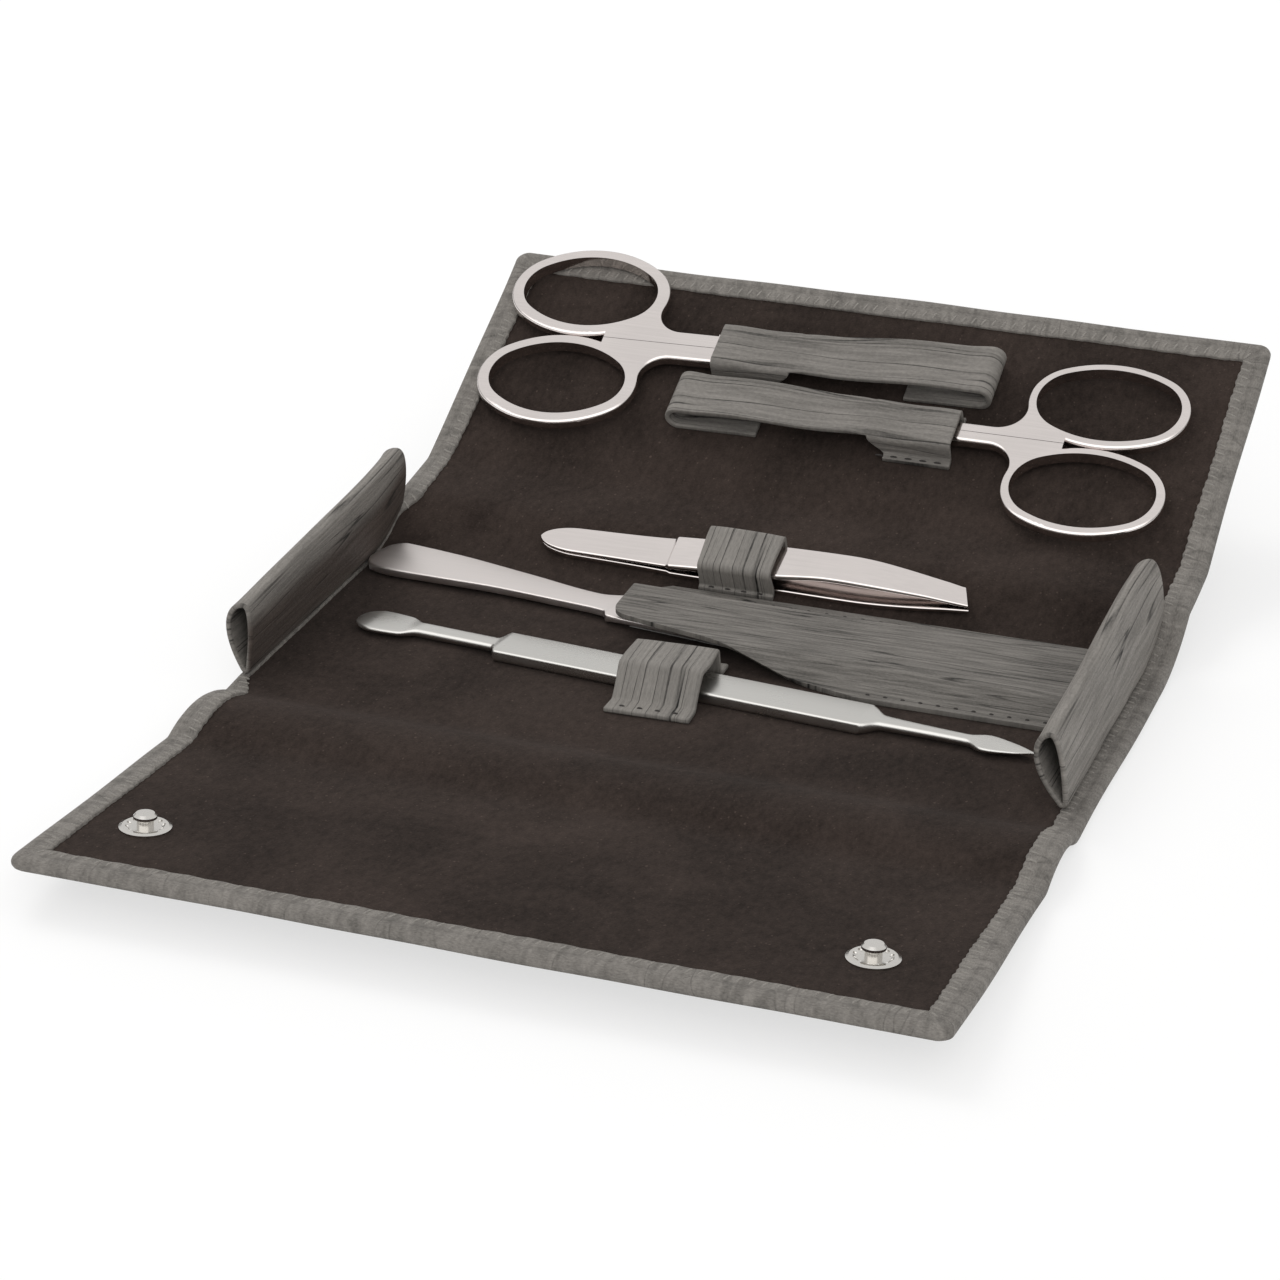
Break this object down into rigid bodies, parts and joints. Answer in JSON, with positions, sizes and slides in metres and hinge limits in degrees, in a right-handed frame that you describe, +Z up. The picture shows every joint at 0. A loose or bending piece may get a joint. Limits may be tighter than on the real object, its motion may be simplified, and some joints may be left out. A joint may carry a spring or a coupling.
{
  "type": "manicure set case",
  "caption": "Folding leather manicure case lying open, with straps and sheaths that hold scissors, tweezers, a nail file and a cuticle pusher, and snap studs on the flap.",
  "frame": {"origin": "underside of the flat base panel, on the table, midway between the case's two side edges", "axes": "+X along the folds to the right as seen from the flap, +Y from the flap's free edge towards the cover, +Z up out of the base's lining"},
  "size_m": [0.1509, 0.2195, 0.0378],
  "materials": {
    "case_leather": "grained grey-taupe leather, semi-matt",
    "suede_lining": "very dark brown suede, matt",
    "board": "plain grey board",
    "interlining": "soft bonded felt",
    "polished_steel": "polished nickel-plated steel",
    "nickel": "polished nickel-plated brass",
    "spring_steel": "bright drawn wire",
    "abrasive": "fine bonded grit"
  },
  "bodies": {
    "base": {"base_outer_leather": "case_leather", "base_board": "board", "base_lining": "suede_lining", "file_sleeve": "case_leather", "pusher_loop": "case_leather", "tweezers_loop": "case_leather"},
    "left_guard": {"left_guard": "case_leather"},
    "right_guard": {"right_guard": "case_leather"},
    "front_spine": {"front_spine_outer_leather": "case_leather", "front_spine_interlining": "interlining", "front_spine_lining": "suede_lining"},
    "front_flap": {"front_flap_outer_leather": "case_leather", "front_flap_board": "board", "front_flap_lining": "suede_lining", "left_stud": "nickel", "right_stud": "nickel", "left_stud_rivet": "nickel", "right_stud_rivet": "nickel"},
    "back_spine": {"back_spine_outer_leather": "case_leather", "back_spine_board": "board", "back_spine_lining": "suede_lining"},
    "cover": {"cover_outer_leather": "case_leather", "cover_board": "board", "cover_lining": "suede_lining", "nail_scissors_sheath": "case_leather", "cuticle_scissors_sheath": "case_leather", "left_socket": "nickel", "right_socket": "nickel", "left_socket_spring": "spring_steel", "right_socket_spring": "spring_steel", "left_socket_rivet": "nickel", "right_socket_rivet": "nickel"},
    "nail_scissors": {"nail_scissors_near_half": "polished_steel", "nail_scissors_screw": "polished_steel"},
    "nail_scissors_far_arm": {"nail_scissors_far_half": "polished_steel"},
    "cuticle_scissors": {"cuticle_scissors_near_half": "polished_steel", "cuticle_scissors_screw": "polished_steel"},
    "cuticle_scissors_far_arm": {"cuticle_scissors_far_half": "polished_steel"},
    "tweezers": {"tweezers_lower_arm": "polished_steel"},
    "tweezers_upper": {"tweezers_upper_arm": "polished_steel"},
    "nail_file": {"nail_file": "polished_steel", "nail_file_grit": "abrasive"},
    "cuticle_pusher": {"cuticle_pusher": "polished_steel"}
  },
  "joints": [
    {"name": "front_spine_fold", "type": "hinge", "parent": "base", "child": "front_spine", "pos_m": [0, -0.0374, 0.0025], "axis": [-1, 0, 0], "range_deg": [0, 84.4]},
    {"name": "front_flap_fold", "type": "hinge", "parent": "front_spine", "child": "front_flap", "pos_m": [0, -0.05838, 0.00345], "axis": [-1, 0, 0], "range_deg": [-5, 86.53]},
    {"name": "back_spine_fold", "type": "hinge", "parent": "base", "child": "back_spine", "pos_m": [0, 0.03911, 0.00911], "axis": [1, 0, 0], "range_deg": [-11, 83]},
    {"name": "cover_fold", "type": "hinge", "parent": "back_spine", "child": "cover", "pos_m": [0, 0.05341, 0.01086], "axis": [1, 0, 0], "range_deg": [-18.8, 75.07]},
    {"name": "left_guard_fold", "type": "hinge", "parent": "base", "child": "left_guard", "pos_m": [-0.0736, -0.031, 0.00282], "axis": [0, -1, 0], "range_deg": [-8, 12]},
    {"name": "right_guard_fold", "type": "hinge", "parent": "base", "child": "right_guard", "pos_m": [0.0706, -0.031, 0.00282], "axis": [0, 1, 0], "range_deg": [-8, 12]},
    {"name": "nail_scissors_slide", "type": "slide", "parent": "cover", "child": "nail_scissors", "axis": [-0.9993, -0.0346, -0.0167], "range_m": [0, 0.1]},
    {"name": "nail_scissors_pivot", "type": "hinge", "parent": "nail_scissors", "child": "nail_scissors_far_arm", "pos_m": [-0.0204, 0.0836, 0.02744], "axis": [0, 0.4352, -0.9003], "range_deg": [0, 3]},
    {"name": "cuticle_scissors_slide", "type": "slide", "parent": "cover", "child": "cuticle_scissors", "axis": [0.9999, 0.0094, 0.0046], "range_m": [0, 0.1]},
    {"name": "cuticle_scissors_pivot", "type": "hinge", "parent": "cuticle_scissors", "child": "cuticle_scissors_far_arm", "pos_m": [0.0176, 0.07226, 0.02195], "axis": [0, -0.4352, 0.9003], "range_deg": [0, 3]},
    {"name": "tweezers_slide", "type": "slide", "parent": "base", "child": "tweezers", "axis": [1, 0, 0], "range_m": [-0.022, 0.028]},
    {"name": "tweezers_squeeze", "type": "hinge", "parent": "tweezers", "child": "tweezers_upper", "pos_m": [-0.0414, 0.0333, 0.00668], "axis": [0, -0.8932, -0.4497], "range_deg": [-0.35, 0.3], "stiffness_Nm_per_rad": 2},
    {"name": "file_slide", "type": "slide", "parent": "base", "child": "nail_file", "axis": [0.9931, -0.1168, -0.0035], "range_m": [0, 0.008]},
    {"name": "pusher_slide", "type": "slide", "parent": "base", "child": "cuticle_pusher", "axis": [0.9965, -0.0837, 0], "range_m": [-0.0045, 0.006]}
  ]
}
